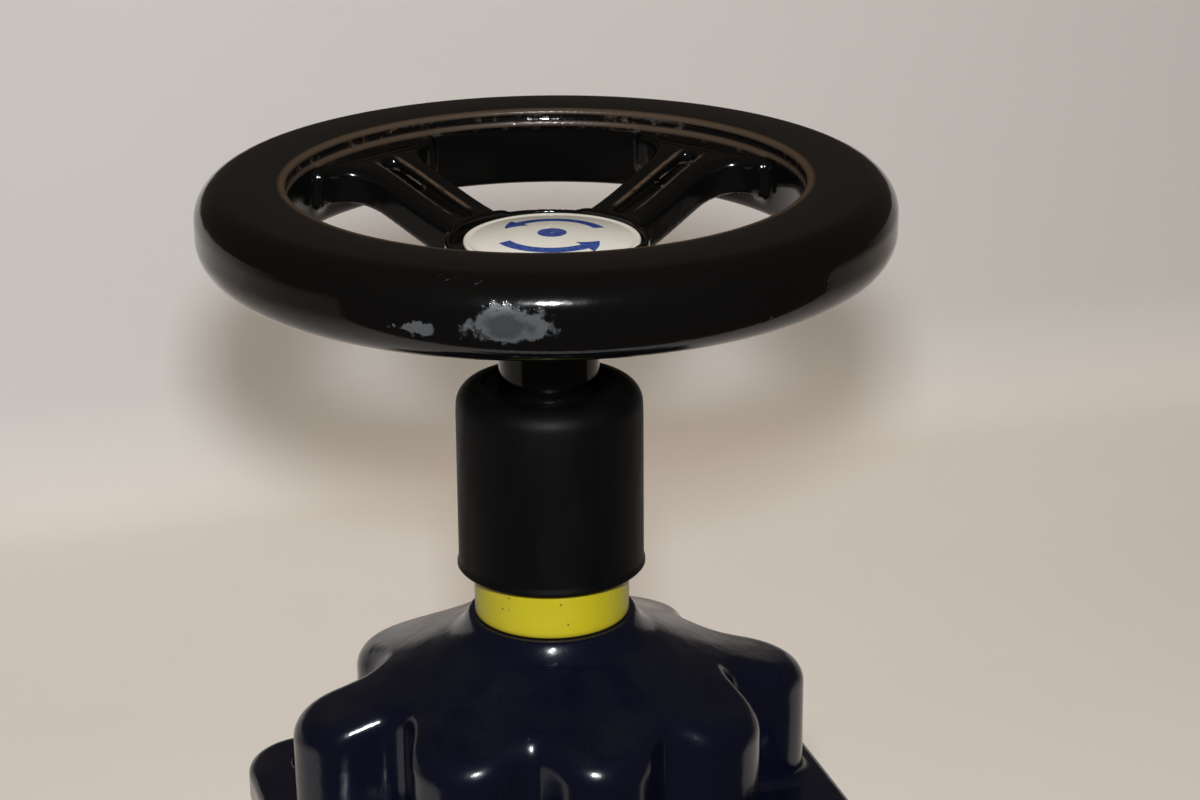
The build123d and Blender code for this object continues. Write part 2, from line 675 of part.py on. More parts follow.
with BuildPart() as wedge_core:
    add(wedge_blank(RUBBER_T))
    # head that carries the nut, and lugs for the guide shoes
    with BuildSketch(Plane.XY.offset(WEDGE_TOP - RUBBER_T - 1)):
        RectangleRounded(HEAD_X, HEAD_Y, HEAD_CORNER)
    extrude(amount=HEAD_TOP - WEDGE_TOP + RUBBER_T + 1)
    with Locations((0, 0, SHOE_Z)):
        Box(2 * (WEDGE_R + LUG_REACH), LUG_W, SHOE_H, align=upward)
    # nut pocket, open to one side
    with Locations((0, NUT_BACK_Y, NUT_Z)):
        Box(NUT_W + 0.2, 40, NUT_H + 0.1, align=(Align.CENTER, Align.MAX, Align.MIN), mode=Mode.SUBTRACT)
    with Locations((0, 0, 40)):
        Cylinder(STEM_PASSAGE_R, 120, align=upward, mode=Mode.SUBTRACT)
save(wedge_core.part, "wedge_core")

with BuildPart() as wedge_rubber:
    add(wedge_blank(0))
    add(wedge_blank(RUBBER_T), mode=Mode.SUBTRACT)
    with BuildSketch(Plane.XY.offset(WEDGE_TOP - RUBBER_T - 1)):
        RectangleRounded(HEAD_X, HEAD_Y, HEAD_CORNER)
    extrude(amount=20, mode=Mode.SUBTRACT)
    with Locations((0, 0, SHOE_Z)):
        Box(2 * (WEDGE_R + LUG_REACH), LUG_W, SHOE_H, align=upward, mode=Mode.SUBTRACT)
    with Locations((0, 0, 40)):
        Cylinder(STEM_PASSAGE_R, 120, align=upward, mode=Mode.SUBTRACT)
save(wedge_rubber.part, "wedge_rubber")

with BuildPart() as wedge_nut:
    with Locations((0, NUT_BACK_Y, NUT_Z)):
        Box(NUT_W, NUT_DEPTH, NUT_H, align=(Align.CENTER, Align.MAX, Align.MIN))
    with Locations((0, 0, NUT_Z)):
        Cylinder(THREAD_R + RUN_GAP, 60, mode=Mode.SUBTRACT)
save(wedge_nut.part, "wedge_nut")

with BuildPart() as wedge_shoes:
    for side in (-1, 1):
        with Locations((side * (WEDGE_R + LUG_REACH + SHOE_T / 2), 0, SHOE_Z)):
            Box(SHOE_T, SHOE_W, SHOE_H, align=upward)
        with Locations((side * (CHAMBER_HALF_X - 1), 0, SHOE_Z - 1)):
            Box(4.8, RIB_W + 0.8, SHOE_H + 2, align=upward, mode=Mode.SUBTRACT)
save(wedge_shoes.part, "wedge_shoes")
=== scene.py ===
"""Looks of the flanged gate valve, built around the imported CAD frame.

The cast parts are drawn as signed-distance fields, so that their ribs, lobes and spokes meet in
soft cast fillets. Field sizes are in millimetres; meshes are written in metres.
"""
import json
import math

import bmesh
import bpy
import numpy as np
from mathutils import Matrix, Vector


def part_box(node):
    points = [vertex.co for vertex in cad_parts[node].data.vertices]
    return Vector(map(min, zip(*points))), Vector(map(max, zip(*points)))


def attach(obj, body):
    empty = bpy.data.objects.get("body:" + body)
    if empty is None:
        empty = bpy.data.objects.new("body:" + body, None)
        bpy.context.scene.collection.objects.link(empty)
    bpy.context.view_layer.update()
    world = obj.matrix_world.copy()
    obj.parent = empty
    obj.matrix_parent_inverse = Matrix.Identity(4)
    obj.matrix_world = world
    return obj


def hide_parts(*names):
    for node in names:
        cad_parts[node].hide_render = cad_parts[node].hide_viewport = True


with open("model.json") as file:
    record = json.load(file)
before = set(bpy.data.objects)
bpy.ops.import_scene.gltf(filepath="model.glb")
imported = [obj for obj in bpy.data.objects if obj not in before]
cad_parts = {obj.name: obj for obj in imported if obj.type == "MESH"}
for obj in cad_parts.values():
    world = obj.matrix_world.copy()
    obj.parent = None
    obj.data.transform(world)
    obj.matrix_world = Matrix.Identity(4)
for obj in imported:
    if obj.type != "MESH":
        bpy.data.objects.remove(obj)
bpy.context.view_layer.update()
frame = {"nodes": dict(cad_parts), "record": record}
NODES = frame["nodes"]

MM = 0.001


def span(node):
    """Lowest and highest corner of a CAD node, in millimetres."""
    low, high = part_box(node)
    return np.array(low) / MM, np.array(high) / MM


# ---------------------------------------------------------------- sizes read from the frame
rim_low, rim_high = span("handwheel_rim")
boss_low = span("handwheel_boss")[0]
cap_low, cap_high = span("hub_cap")
sleeve_low, sleeve_high = span("dust_sleeve")
ring_low, ring_high = span("indicator_ring")
bonnet_low, bonnet_high = span("bonnet")
casting = [span(node) for node in ("body_casting", "inlet_branch", "outlet_branch")]
body_low = np.min([low for low, high in casting], axis=0)
body_high = np.max([high for low, high in casting], axis=0)

RIM_DEPTH = 9.3
WHEEL_Z = rim_low[2] + RIM_DEPTH
RIM_R = rim_high[0]
AXIS_Z = body_high[0]
JOINT_Z = bonnet_low[2]


# ---------------------------------------------------------------- field tools
def cut(a, b, r):
    """Part of a inside b, the edge between them rounded to radius r."""
    return np.minimum(-r, np.maximum(a, b)) + np.hypot(np.maximum(a + r, 0), np.maximum(b + r, 0))


def join(a, b, r):
    """a and b together, with a fillet of radius r between them."""
    return np.maximum(r, np.minimum(a, b)) - np.hypot(np.maximum(r - a, 0), np.maximum(r - b, 0))


def carve(a, b, r):
    """a with b taken away, the mouth rounded to radius r."""
    return cut(a, -b, r)


def box2(u, v, half_u, half_v, corner):
    """Rounded rectangle."""
    qu = np.abs(u) - half_u + corner
    qv = np.abs(v) - half_v + corner
    return np.hypot(np.maximum(qu, 0), np.maximum(qv, 0)) + np.minimum(np.maximum(qu, qv), 0) - corner


def slab(w, low, high):
    """The layer between two heights."""
    return np.maximum(low - w, w - high)


def prism(plan, w, low, high, r):
    """A plan outline between two heights, edges rounded to r."""
    return cut(plan, slab(w, low, high), r)


def field_mesh(name, field, low, high, cell):
    """Surface of field inside the box low..high: dual grid cells, moved onto the surface."""
    limits = np.array(low, float), np.array(high, float)
    low = limits[0] - 2 * cell
    high = limits[1] + 2 * cell
    axes = [np.arange(low[i], high[i] + cell, cell) for i in range(3)]
    shape = tuple(len(a) for a in axes)
    value = np.empty(shape, np.float32)
    for k in range(shape[2]):
        x, y = np.meshgrid(axes[0], axes[1], indexing="ij")
        value[:, :, k] = field(x, y, np.full_like(x, axes[2][k]))
    inside = value < 0
    count = np.zeros(tuple(n - 1 for n in shape), np.int8)
    for i in (0, 1):
        for j in (0, 1):
            for k in (0, 1):
                count += inside[i:shape[0] - 1 + i, j:shape[1] - 1 + j, k:shape[2] - 1 + k]
    active = (count > 0) & (count < 8)
    cells = np.argwhere(active)
    index = np.full(active.shape, -1, np.int64)
    index[active] = np.arange(len(cells))
    total = np.zeros((len(cells), 3))
    hits = np.zeros(len(cells))
    corners = [(i, j, k) for i in (0, 1) for j in (0, 1) for k in (0, 1)]
    for a in corners:
        for axis in range(3):
            if a[axis]:
                continue
            b = tuple(c + (n == axis) for n, c in enumerate(a))
            va = value[cells[:, 0] + a[0], cells[:, 1] + a[1], cells[:, 2] + a[2]]
            vb = value[cells[:, 0] + b[0], cells[:, 1] + b[1], cells[:, 2] + b[2]]
            crosses = (va < 0) != (vb < 0)
            t = np.where(crosses, va / np.where(crosses, va - vb, 1), 0)
            point = np.tile(np.array(a, float), (len(cells), 1))
            point[:, axis] = t
            total += point * crosses[:, None]
            hits += crosses
    points = low + (cells + total / hits[:, None]) * cell
    for _ in range(4):
        points = onto_surface(points, field, cell)
    points = np.clip(points, *limits)
    quads = []
    for axis in range(3):
        u, v = (axis + 1) % 3, (axis + 2) % 3
        lower = [slice(None)] * 3
        upper = [slice(None)] * 3
        lower[axis] = slice(0, -1)
        upper[axis] = slice(1, None)
        flips = inside[tuple(lower)] != inside[tuple(upper)]
        edge = np.argwhere(flips)
        edge = edge[(edge[:, u] > 0) & (edge[:, v] > 0)]
        edge = edge[(edge[:, u] < shape[u] - 1) & (edge[:, v] < shape[v] - 1)]
        starts_in = inside[edge[:, 0], edge[:, 1], edge[:, 2]]
        ring = []
        for du, dv in ((-1, -1), (0, -1), (0, 0), (-1, 0)):
            c = edge.copy()
            c[:, u] += du
            c[:, v] += dv
            ring.append(index[c[:, 0], c[:, 1], c[:, 2]])
        ring = np.stack(ring, 1)
        ring[~starts_in] = ring[~starts_in][:, ::-1]
        quads.append(ring)
    quads = np.concatenate(quads)
    return mesh_object(name, points * MM, quads)


def onto_surface(points, field, cell):
    """One Newton step towards the surface, no longer than half a cell."""
    step = 0.02
    x, y, z = points.T
    here = field(x, y, z)
    slope = np.stack([
        field(x + step, y, z) - field(x - step, y, z),
        field(x, y + step, z) - field(x, y - step, z),
        field(x, y, z + step) - field(x, y, z - step),
    ], 1) / (2 * step)
    move = here[:, None] * slope / np.maximum((slope ** 2).sum(1), 0.2)[:, None]
    length = np.linalg.norm(move, axis=1, keepdims=True)
    return points - move * np.minimum(1, 0.5 * cell / np.maximum(length, 1e-9))


def mesh_object(name, points, faces):
    """A smooth-shaded mesh object from points in metres."""
    mesh = bpy.data.meshes.new(name)
    mesh.from_pydata([tuple(p) for p in points], [], [tuple(int(i) for i in f) for f in faces])
    mesh.update()
    mesh.shade_smooth()
    made = bpy.data.objects.new(name, mesh)
    bpy.context.collection.objects.link(made)
    return made


def lathe(name, profile, steps=160):
    """A closed profile of (radius, height) in millimetres, turned about the stem axis."""
    angles = np.linspace(0, 2 * math.pi, steps, endpoint=False)
    profile = np.array(profile)
    count = len(profile)
    points = []
    for a in angles:
        points += [(r * math.cos(a) * MM, r * math.sin(a) * MM, z * MM) for r, z in profile]
    faces = []
    for i in range(steps):
        for j in range(count):
            k = (j + 1) % count
            n = (i + 1) % steps
            faces.append((i * count + j, n * count + j, n * count + k, i * count + k))
    made = mesh_object(name, points, faces)
    work = bmesh.new()
    work.from_mesh(made.data)
    bmesh.ops.remove_doubles(work, verts=work.verts, dist=1e-7)
    bmesh.ops.recalc_face_normals(work, faces=work.faces)
    work.to_mesh(made.data)
    work.free()
    made.data.shade_smooth()
    return made


def arc(centre, radius, start, end, steps=8):
    """Points on an arc, angles in degrees."""
    turns = np.radians(np.linspace(start, end, steps))
    return [(centre[0] + radius * math.cos(t), centre[1] + radius * math.sin(t)) for t in turns]


# the way the camera and the cap's mark are turned from the front of the valve
VIEW_SIDE = math.radians(-15)

# ---------------------------------------------------------------- handwheel
SPOKE_ANGLE = math.radians(32.5)
RIM_IN = 58.8
RIM_TOP = rim_high[2] - WHEEL_Z
RIM_BOTTOM = rim_low[2] - WHEEL_Z
SPOKE_HALF = 8.8
SPOKE_FLARE = 12.5
FLARE_END = 57.5
SPOKE_WALL = 3.0
SPOKE_DEPTH = 8.5
SPOKE_OUT_Z = 5.0
HUB_TOP = -4.5
HUB_BOTTOM = -12.0
HUB_R = 23.6
RECESS_R = 22.3
RECESS_FLOOR = -6.5
BOSS_R = 11.8
BOSS_POCKET_R = 10.6
BOSS_SEAT = 296 - WHEEL_Z
SQUARE_HALF = 6.55
CROWN_R, CROWN_SPREAD = 67.0, 240.0
CHANNEL_R, CHANNEL_HALF, CHANNEL_DEPTH = 69.3, 5.2, 13.0
SLOT_MID, SLOT_HALF, SLOT_R = 38.6, 11.0, 2.5


def rim_section(r, z):
    """Rounded rim with a bevelled inner lip and an open channel underneath."""
    crown = z + (r - CROWN_R) ** 2 / CROWN_SPREAD - RIM_TOP
    outline = cut(crown, r - RIM_R, 6.8)
    outline = cut(outline, RIM_BOTTOM - z, 8.4)
    beads = np.exp(-((z - 6.6) / 0.9) ** 2) + np.exp(-((z - 10.0) / 1.2) ** 2)
    inner = cut(RIM_IN + 0.9 - 0.8 * beads - r, RIM_BOTTOM - z + 0.25 * (62 - r), 1.5)
    outline = cut(outline, inner, 1.1)
    channel = box2(r - CHANNEL_R, z - RIM_BOTTOM, CHANNEL_HALF, CHANNEL_DEPTH, 2.5)
    return carve(outline, channel, 0.8)


def wheel_field(x, y, z):
    """Rim, four dished spokes, hub plate and boss as one fabricated wheel."""
    z = z - WHEEL_Z
    r = np.hypot(x, y)
    rim = rim_section(r, z)
    turn = np.arctan2(y, x) - SPOKE_ANGLE
    turn = turn - np.round(turn / (math.pi / 2)) * (math.pi / 2)
    u = r * np.cos(turn)
    v = np.abs(r * np.sin(turn))
    rise = np.clip((u - HUB_R) / (RIM_IN - 5 - HUB_R), 0, 1)
    rise = rise * rise * (3 - 2 * rise) * 0.35 + rise * 0.65
    top = HUB_TOP + (SPOKE_OUT_Z - HUB_TOP) * rise
    flare_u = np.clip(r - (FLARE_END - SPOKE_FLARE), 0, SPOKE_FLARE)
    half = SPOKE_HALF + SPOKE_FLARE - np.sqrt(SPOKE_FLARE ** 2 - flare_u ** 2 * 0.97)
    tilt = 0.98
    shell = cut(v - half, (z - top) * tilt, 2.0)
    shell = cut(shell, (top - SPOKE_DEPTH - z) * tilt, 0.9)
    hollow = cut(v - half + SPOKE_WALL, (z - top + SPOKE_WALL) * tilt, 1.4)
    hollow = np.maximum(hollow, HUB_R - 1 - u)
    spokes = carve(shell, hollow, 0.7)
    spokes = np.maximum(spokes, u - RIM_IN - 2)
    spokes = np.maximum(spokes, HUB_R - 8 - u)
    hub = prism(r - HUB_R, z, HUB_BOTTOM, HUB_TOP, 1.4)
    wheel = join(spokes, hub, 2.0)
    floor = top - 1.5 - 1.4 * np.clip((u - 26) / 24, 0, 1)
    slot = np.hypot(np.maximum(np.abs(u - SLOT_MID) - SLOT_HALF, 0), v) - SLOT_R
    wheel = carve(wheel, np.maximum(slot, floor - z), 0.9)
    wheel = carve(wheel, np.maximum(r - RECESS_R, RECESS_FLOOR - z), 0.6)
    wheel = join(wheel, rim, 3.2)
    boss = prism(r - BOSS_R, z, boss_low[2] - WHEEL_Z, HUB_BOTTOM + 2, 0.6)
    wheel = join(wheel, boss, 5.5)
    wheel = np.maximum(wheel, -np.maximum(r - BOSS_POCKET_R, BOSS_SEAT - z))
    side = math.cos(SPOKE_ANGLE) * x + math.sin(SPOKE_ANGLE) * y
    across = -math.sin(SPOKE_ANGLE) * x + math.cos(SPOKE_ANGLE) * y
    return np.maximum(wheel, SQUARE_HALF - np.maximum(np.abs(side), np.abs(across)))


def make_handwheel():
    low = (-RIM_R, -RIM_R, boss_low[2])
    high = (RIM_R, RIM_R, rim_high[2])
    wheel = field_mesh("handwheel", wheel_field, low, high, 0.65)
    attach(wheel, "stem_and_handwheel")
    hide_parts("handwheel_rim", "handwheel_spider", "handwheel_boss")
    return wheel


# ---------------------------------------------------------------- bonnet
JOINT_HALF_X = bonnet_high[0]
JOINT_HALF_Y = bonnet_high[1]
JOINT_CORNER = 16.0
BONNET_JOINT_TOP = JOINT_Z + 10.5
NECK_TOP = bonnet_high[2]
NECK_R = 19.4
CORE_R = 43.0
LOBES = ((0, 52.0, 11.8), (46, 39.5, 14.5), (90, 38.5, 13.5), (135, 39.5, 14.5))
SCREW_X, SCREW_Y = 50.5, 36.0
SCREW_R, SCREW_POCKET_R, SCREW_SEAT = 4.9, 7.8, 2.5
CAVITY_X, CAVITY_Y, CAVITY_CORNER, CAVITY_TOP = 29.3, 17.5, 2.0, 192.0
GROOVE_X, GROOVE_Y, GROOVE_CORNER, GROOVE_HALF, GROOVE_DEPTH = 41.5, 22.5, 9.5, 2.6, 2.0
STEM_HOLE_R = 10.2
BUSH_R, BUSH_SEAT_Z = 14.5, 198.0
BACK_SEAL_R, BACK_SEAL_LOW, BACK_SEAL_HIGH = 12.6, 193.5, 196.5
CLIP_R, CLIP_LOW, CLIP_HIGH = 15.9, 212.0, 213.6


def bonnet_field(x, y, z):
    """Eight lobes under a dome that rises to the neck, on the joint flange."""
    r = np.hypot(x, y)
    star = r - CORE_R
    for angle, reach, lobe_r in LOBES:
        c, s = math.cos(math.radians(angle)), math.sin(math.radians(angle))
        along = np.abs(c * x + s * y)
        across = -s * x + c * y
        lobe = np.hypot(np.maximum(along - reach, 0), across) - lobe_r
        star = join(star, lobe, 4.0)
    fall = np.maximum(r - NECK_R, 0)
    dome = (z - (NECK_TOP - 3.0 - 0.60 * fall + 0.0043 * fall ** 2)) * 0.88
    crown = cut(star, dome, 4.6)
    neck = prism(r - NECK_R, z, BONNET_JOINT_TOP, NECK_TOP, 1.5)
    crown = join(crown, neck, 6.0)
    crown = np.maximum(crown, BONNET_JOINT_TOP - 6 - z)
    plate = prism(box2(x, y, JOINT_HALF_X, JOINT_HALF_Y, JOINT_CORNER), z, JOINT_Z, BONNET_JOINT_TOP, 2.6)
    body = join(crown, plate, 2.5)
    body = cut(body, JOINT_Z - z, 0.7)
    holes = np.hypot(np.abs(x) - SCREW_X, np.abs(y) - SCREW_Y)
    body = carve(body, np.maximum(holes - SCREW_POCKET_R, JOINT_Z + SCREW_SEAT - z), 0.8)
    body = np.maximum(body, SCREW_R - holes)
    cavity = np.maximum(box2(x, y, CAVITY_X, CAVITY_Y, CAVITY_CORNER), z - CAVITY_TOP)
    body = carve(body, cavity, 0.8)
    gasket_line = np.abs(box2(x, y, GROOVE_X, GROOVE_Y, GROOVE_CORNER))
    groove = np.maximum(gasket_line - GROOVE_HALF, z - JOINT_Z - GROOVE_DEPTH)
    body = np.maximum(body, -groove)
    body = np.maximum(body, STEM_HOLE_R - r)
    body = np.maximum(body, -np.maximum(r - BACK_SEAL_R, slab(z, BACK_SEAL_LOW, BACK_SEAL_HIGH)))
    body = np.maximum(body, -np.maximum(r - CLIP_R, slab(z, CLIP_LOW, CLIP_HIGH)))
    return np.maximum(body, -np.maximum(r - BUSH_R, BUSH_SEAT_Z - z))


def make_bonnet():
    cell = 0.8
    bonnet = field_mesh("bonnet_casting", bonnet_field, bonnet_low, bonnet_high, cell)
    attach(bonnet, "valve_body")
    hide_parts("bonnet")
    return bonnet


# ---------------------------------------------------------------- body
SHELL_X, SHELL_Y, SHELL_CORNER = 43.5, 24.5, 18.0
PIPE_R, BORE_R = 33.0, 25.0
FLANGE_R, FLANGE_IN, FLANGE_OUT = 82.5, 56.0, 72.0
RAISED_R, RAISED_OUT = 49.5, 75.0
FOOT_HALF_X, FOOT_HALF_Z = 30.0, 9.0
BODY_PLATE_T = 12.0
BOLT_CIRCLE_R, BOLT_HOLE_R = 62.5, 9.5
SEAT_R, SEAT_HALF, SEAT_SLOPE = 28.65, 14.65, 0.0524
INSIDE_X, INSIDE_Y, INSIDE_LOW = 36.5, 17.5, 65.0
RIB_MID, RIB_HALF_X, RIB_HALF_Y = 35.0, 1.5, 3.0


def body_field(x, y, z):
    """Pipe with two flanges, the wedge chamber across it and the joint flange on top."""
    h = z - AXIS_Z
    pipe_r = np.hypot(x, h)
    end = np.abs(y)
    upper = prism(box2(x, y, SHELL_X, SHELL_Y, SHELL_CORNER), z, AXIS_Z, JOINT_Z - 5, 0.5)
    lower = np.maximum(cut(pipe_r - SHELL_X, end - SHELL_Y, 7), h - 1)
    chamber = np.minimum(upper, lower)
    pipe = np.maximum(pipe_r - PIPE_R, end - 66)
    shell = join(chamber, pipe, 6)
    foot = box2(x, z - FOOT_HALF_Z, FOOT_HALF_X, FOOT_HALF_Z, 1.5)
    flange = prism(join(pipe_r - FLANGE_R, foot, 2.5), end, FLANGE_IN, FLANGE_OUT, 1.6)
    shell = join(shell, flange, 5)
    shell = np.minimum(shell, prism(pipe_r - RAISED_R, end, 60, RAISED_OUT, 0.6))
    outline = box2(x, y, JOINT_HALF_X, JOINT_HALF_Y, JOINT_CORNER)
    plate = prism(outline, z, JOINT_Z - BODY_PLATE_T, JOINT_Z, 2.2)
    shell = join(shell, plate, 5)
    shell = cut(shell, z - JOINT_Z, 0.7)
    bolt = BOLT_CIRCLE_R * math.sqrt(0.5)
    holes = np.hypot(np.abs(x) - bolt, np.abs(h) - bolt)
    shell = carve(shell, np.maximum(holes - BOLT_HOLE_R, FLANGE_IN - 2 - end), 0.8)
    inside = np.minimum(pipe_r - SEAT_R, box2(x, z - INSIDE_LOW - 45, INSIDE_X, 45, 1))
    inside = np.maximum(inside, end - np.minimum(SEAT_HALF + h * SEAT_SLOPE, INSIDE_Y))
    ribs = np.maximum(box2(np.abs(x) - RIB_MID, y, RIB_HALF_X, RIB_HALF_Y, 0.3), INSIDE_LOW - z)
    inside = np.maximum(inside, -ribs)
    inside = np.minimum(inside, np.maximum(pipe_r - BORE_R, end - 90))
    return carve(shell, inside, 0.8)


def make_body():
    cell = 1.0
    body = field_mesh("body_shell", body_field, body_low, body_high, cell)
    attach(body, "valve_body")
    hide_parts("body_casting", "inlet_branch", "outlet_branch")
    return body


# ---------------------------------------------------------------- node materials
class Graph:
    """A node material around one Principled shader, with short calls for the usual nodes."""

    def __init__(self, name, color, roughness, **sockets):
        self.mat = bpy.data.materials.new(name)
        self.mat.use_nodes = True
        self.tree = self.mat.node_tree
        self.shader = self.tree.nodes["Principled BSDF"]
        self.set(Base_Color=(*color, 1), Roughness=roughness, **sockets)
        self.mat.diffuse_color = (*color, 1)
        self.place = self.node("ShaderNodeTexCoord").outputs["Object"]

    def set(self, **sockets):
        for key, value in sockets.items():
            self.fill(self.shader.inputs[key.replace("_", " ")], value)

    def fill(self, socket, value):
        if isinstance(value, bpy.types.NodeSocket):
            self.tree.links.new(value, socket)
        else:
            socket.default_value = value

    def node(self, kind, *inputs, **settings):
        made = self.tree.nodes.new(kind)
        for key, value in settings.items():
            setattr(made, key, value)
        for socket, value in zip(made.inputs, inputs):
            if value is not None:
                self.fill(socket, value)
        return made

    def math(self, operation, a, b=0.0):
        return self.node("ShaderNodeMath", a, b, operation=operation).outputs[0]

    def add(self, a, b):
        return self.math("ADD", a, b)

    def times(self, a, b):
        return self.math("MULTIPLY", a, b)

    def band(self, value, start, end, low=0.0, high=1.0):
        """Smooth step from low to high as value goes from start to end."""
        limits = (start, end, low, high)
        made = self.node("ShaderNodeMapRange", value, *limits, interpolation_type="SMOOTHSTEP")
        return made.outputs[0]

    def noise(self, size, detail=3.0, rough=0.5, place=None, stretch=None):
        """Noise whose features are about size metres across."""
        where = place or self.place
        if stretch:
            where = self.node("ShaderNodeMapping", where).outputs[0]
            where.node.inputs["Scale"].default_value = stretch
        made = self.node("ShaderNodeTexNoise", where)
        made.inputs["Scale"].default_value = 1 / size
        made.inputs["Detail"].default_value = detail
        made.inputs["Roughness"].default_value = rough
        return made.outputs["Fac"]

    def mix(self, factor, a, b):
        made = self.node("ShaderNodeMix", data_type="RGBA")
        self.fill(made.inputs["Factor"], factor)
        self.fill(made.inputs["A"], a if isinstance(a, bpy.types.NodeSocket) else (*a, 1))
        self.fill(made.inputs["B"], b if isinstance(b, bpy.types.NodeSocket) else (*b, 1))
        return made.outputs["Result"]

    def xyz(self, vector=None):
        return self.node("ShaderNodeSeparateXYZ", vector or self.place).outputs

    def bump(self, height, depth, strength=1.0, below=None):
        """Bump of a height field that spans depth metres."""
        made = self.node("ShaderNodeBump")
        made.inputs["Strength"].default_value = strength
        made.inputs["Distance"].default_value = depth
        self.fill(made.inputs["Height"], height)
        if below is not None:
            self.fill(made.inputs["Normal"], below)
        return made.outputs["Normal"]

    def polar(self):
        """Radius (m), angle (radians) and height (m) about the stem axis."""
        x, y, z = self.xyz()
        radius = self.math("SQRT", self.add(self.times(x, x), self.times(y, y)))
        angle = self.math("ARCTAN2", y, x)
        return radius, angle, z

    def ridge(self, value, middle, half):
        """1 where value is at middle, falling to 0 a distance half away."""
        away = self.math("ABSOLUTE", self.math("SUBTRACT", value, middle))
        return self.band(away, half, 0.3 * half)

    def spot(self, angle, z, at_deg, at_z, half_arc, half_z, ragged, edge=0.12):
        """1 inside an uneven oval on the rim's outside, sizes in metres."""
        along = self.times(self.math("SUBTRACT", angle, math.radians(at_deg)), RIM_R * MM / half_arc)
        up = self.times(self.math("SUBTRACT", z, at_z), 1 / half_z)
        reach = self.math("SQRT", self.add(self.times(along, along), self.times(up, up)))
        reach = self.add(reach, ragged)
        return self.band(reach, 1 + edge, 1 - edge, 0.0, 1.0)


def black_paint():
    g = Graph("black_enamel", (0.0022, 0.0020, 0.0019), 0.14, Specular_IOR_Level=0.34, Coat_Weight=0.08,
              Coat_Roughness=0.06)
    radius, angle, z = g.polar()
    wheel_z = WHEEL_Z * MM
    coarse = g.math("SUBTRACT", g.noise(0.006, 4, 0.6), 0.5)
    fine = g.math("SUBTRACT", g.noise(0.0016, 3, 0.6), 0.5)
    ragged = g.add(g.times(coarse, 1.5), g.times(fine, 0.7))
    patch = g.spot(angle, z, -110.5, wheel_z + 0.0008, 0.0092, 0.0040, ragged)
    heart = g.spot(angle, z, -110.8, wheel_z + 0.0006, 0.0056, 0.0025, g.times(ragged, 1.4), 0.3)
    chips = g.spot(angle, z, -125.5, wheel_z - 0.0010, 0.0042, 0.0011, g.times(ragged, 2.6))
    worn = g.math("MAXIMUM", patch, chips)
    # scuffs and specks in patches on the top of the rim
    top = g.band(z, wheel_z + 0.0070, wheel_z + 0.0088)
    streaks = g.noise(0.0030, 4, 0.65, stretch=(0.35, 2.4, 1.0))
    scuff = g.times(top, g.band(streaks, 0.62, 0.70))
    zone = g.band(g.noise(0.045, 1, 0.4), 0.50, 0.62)
    scuff = g.times(scuff, zone)
    specks = g.times(g.band(g.noise(0.0022, 2, 0.5), 0.73, 0.76), zone)
    # brownish colour on the two beads of the inner lip and along the spoke slots: partly rubbed metal,
    # partly painted highlight lines where these edges catch the light
    lip = g.times(g.band(radius, 0.0575, 0.0588), g.band(radius, 0.0614, 0.0602))
    lip = g.times(lip, g.band(z, wheel_z + 0.0048, wheel_z + 0.0064))
    # the two height ridges are painted highlight lines along the lip beads, not wear
    beads = g.math("MAXIMUM", g.ridge(z, wheel_z + 0.0098, 0.0011), g.ridge(z, wheel_z + 0.0067, 0.0009))
    rub_and_highlight_lines = g.times(lip, g.math("MAXIMUM", g.band(g.noise(0.0035, 4, 0.7), 0.52, 0.70), beads))
    turn = g.math("PINGPONG", g.math("SUBTRACT", angle, SPOKE_ANGLE), math.radians(45))
    along = g.times(radius, g.math("COSINE", turn))
    # brown along the slot edges: partly rubbed wear, partly a painted highlight line
    slot_edge_rub_and_highlight = g.times(g.band(along, 0.026, 0.029), g.band(along, 0.0530, 0.0505))
    slot_edge_rub_and_highlight = g.times(slot_edge_rub_and_highlight, g.ridge(g.times(radius, g.math("SINE", turn)), 0.0033, 0.0007))
    slot_edge_rub_and_highlight = g.times(slot_edge_rub_and_highlight, g.band(g.noise(0.0030, 4, 0.7), 0.30, 0.52))
    rub_and_highlight_lines = g.math("MAXIMUM", rub_and_highlight_lines, slot_edge_rub_and_highlight)
    # mix in the brown of the rubbed wear and the painted highlight lines
    color = g.mix(g.times(rub_and_highlight_lines, 0.6), (0.0022, 0.0020, 0.0019), (0.085, 0.056, 0.036))
    color = g.mix(g.times(scuff, 0.8), color, (0.0009, 0.0009, 0.0009))
    color = g.mix(specks, color, (0.0006, 0.0006, 0.0006))
    primer = g.mix(g.noise(0.0040, 5, 0.6), (0.034, 0.036, 0.038), (0.068, 0.071, 0.074))
    primer = g.mix(g.times(heart, 0.75), primer, (0.015, 0.017, 0.020))
    color = g.mix(worn, color, primer)
    haze = g.band(g.noise(0.030, 3, 0.55), 0.35, 0.75, 0.09, 0.17)
    rough = g.add(haze, g.times(g.math("MAXIMUM", worn, g.math("MAXIMUM", scuff, rub_and_highlight_lines)), 0.28))
    peel = g.noise(0.0042, 2, 0.4)
    grain = g.noise(0.0011, 2, 0.5)
    normal = g.bump(peel, 0.00010, 0.5)
    normal = g.bump(grain, 0.00002, 0.5, normal)
    lost = g.math("MAXIMUM", worn, g.math("MAXIMUM", scuff, specks))
    dent = g.bump(g.math("SUBTRACT", 1.0, lost), 0.00012, 0.6, normal)
    g.set(Base_Color=color, Roughness=rough, Normal=dent)
    return g.mat


